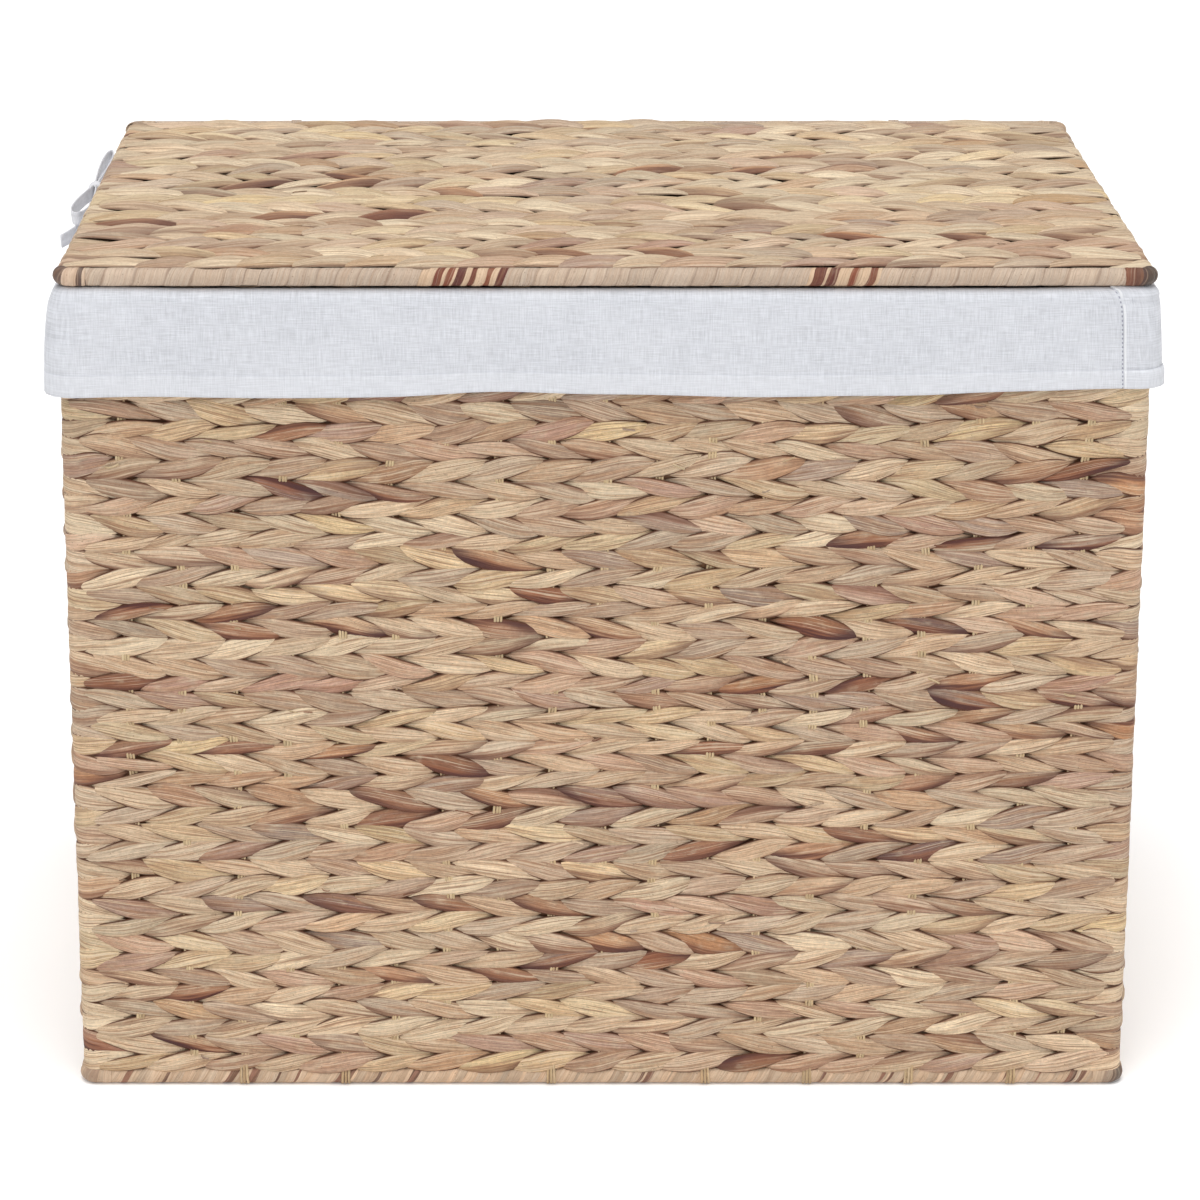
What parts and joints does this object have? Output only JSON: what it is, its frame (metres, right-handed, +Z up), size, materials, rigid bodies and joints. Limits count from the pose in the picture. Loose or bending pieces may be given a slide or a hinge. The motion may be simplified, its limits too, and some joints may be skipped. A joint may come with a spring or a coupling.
{
  "type": "laundry basket",
  "caption": "Rectangular woven plant-fibre laundry hamper with a hinged woven lid, a wire frame and a cotton liner folded over the rim.",
  "frame": {"origin": "centre of the basket's footprint on the surface that it stands on", "axes": "+X to the right across the front, +Y towards the hinged back, +Z up"},
  "size_m": [0.6245, 0.4322, 0.4822],
  "materials": {
    "weave": "matt dried plant strand",
    "border": "matt wrapped plant strand",
    "binding": "dark wrapped plant strand",
    "stake": "pale twisted straw",
    "wire": "steel wire",
    "cloth": "plain woven off-white cotton and linen",
    "tape": "white cotton tape"
  },
  "bodies": {
    "basket": {"wall_front": "weave", "wall_right": "weave", "wall_back": "weave", "wall_left": "weave", "corner_weave_front_right": "weave", "corner_weave_back_right": "weave", "corner_weave_back_left": "weave", "corner_weave_front_left": "weave", "base_weave": "weave", "base_wrap_front": "border", "base_wrap_right": "border", "base_wrap_back": "border", "base_wrap_left": "border", "rim_wrap_front": "border", "rim_wrap_right": "border", "rim_wrap_back": "border", "rim_wrap_left": "border", "hinge_loop_left": "border", "hinge_loop_right": "border", "base_binding_front_right": "binding", "base_binding_back_right": "binding", "base_binding_back_left": "binding", "base_binding_front_left": "binding", "stakes_front": "stake", "stakes_right": "stake", "stakes_back": "stake", "stakes_left": "stake", "base_wire_ring": "wire", "rim_wire_ring": "wire", "corner_post_front_right": "wire", "corner_post_back_right": "wire", "corner_post_back_left": "wire", "corner_post_front_left": "wire", "liner_front": "cloth", "liner_right": "cloth", "liner_back": "cloth", "liner_left": "cloth", "liner_floor": "cloth", "cuff_front": "cloth", "cuff_right": "cloth", "cuff_back": "cloth", "cuff_left": "cloth", "tape_knot": "tape", "tape_loop_front": "tape", "tape_loop_back": "tape", "tape_tail_front": "tape", "tape_tail_back": "tape"},
    "lid": {"lid_weave": "weave", "lid_wrap_front": "border", "lid_wrap_back": "border", "lid_binding_front_right": "binding", "lid_binding_back_right": "binding", "lid_binding_back_left": "binding", "lid_binding_front_left": "binding", "lid_stakes": "stake", "lid_wire_ring": "wire"}
  },
  "joints": [
    {"name": "lid_hinge", "type": "hinge", "parent": "basket", "child": "lid", "pos_m": [0, 0.205, 0.475], "axis": [-1, 0, 0], "range_deg": [0, 180]}
  ]
}
